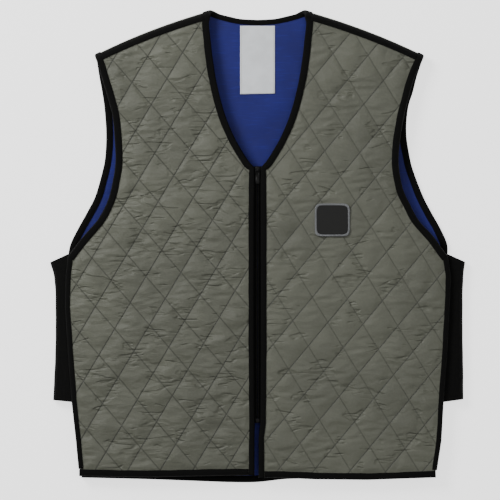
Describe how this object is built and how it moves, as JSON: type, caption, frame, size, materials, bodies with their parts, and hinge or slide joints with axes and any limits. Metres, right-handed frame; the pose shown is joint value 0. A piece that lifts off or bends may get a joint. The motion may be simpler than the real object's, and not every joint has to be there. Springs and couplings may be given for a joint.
{
  "type": "cooling vest",
  "caption": "Sleeveless work vest with diamond-quilted shell, smooth lining, bound edges, V neck, front zip and stretch side panels, lying flat on its back.",
  "frame": {"origin": "middle of the vest's footprint, on the surface that it lies on", "axes": "+Y runs up the vest towards the neck, +X to the wearer's left, +Z out of the chest, upwards as it lies"},
  "size_m": [0.5794, 0.6592, 0.0277],
  "materials": {
    "quilted_nylon": "grey nylon, soft sheen, diamond quilting",
    "lining": "royal blue nylon lining, smooth and matt",
    "binding": "black woven binding tape, matt",
    "side_knit": "black ribbed stretch knit, matt",
    "zip_tape": "black woven zip tape, matt",
    "zip_coil": "black nylon coil, satin",
    "zip_metal": "black enamelled zinc, semi gloss",
    "label": "white woven label, matt",
    "badge": "black woven badge with a grey overlocked rim"
  },
  "bodies": {
    "vest": {"front_shell_right": "quilted_nylon", "front_shell_left": "quilted_nylon", "back_shell": "quilted_nylon", "front_lining_right": "lining", "front_lining_left": "lining", "back_lining": "lining", "front_edge_binding_right": "binding", "front_edge_binding_left": "binding", "back_neck_binding": "binding", "armhole_binding_right": "binding", "armhole_binding_left": "binding", "side_binding_front_right": "binding", "side_binding_front_left": "binding", "side_binding_back_right": "binding", "side_binding_back_left": "binding", "hem_binding_front_right": "binding", "hem_binding_front_left": "binding", "hem_binding_back": "binding", "shoulder_tape_right": "binding", "shoulder_tape_left": "binding", "side_panel_right": "side_knit", "side_panel_left": "side_knit", "zip_tape_right": "zip_tape", "zip_tape_left": "zip_tape", "zip_coil_right": "zip_coil", "zip_coil_left": "zip_coil", "zip_end_box": "zip_coil", "zip_slider": "zip_metal", "neck_label": "label", "chest_badge": "badge"},
    "pull": {"zip_pull": "zip_metal"}
  },
  "joints": [
    {"name": "zip_pull_flip", "type": "hinge", "parent": "vest", "child": "pull", "pos_m": [0, 0.10571, 0.02462], "axis": [-1, 0, 0], "range_deg": [0, 165]}
  ]
}
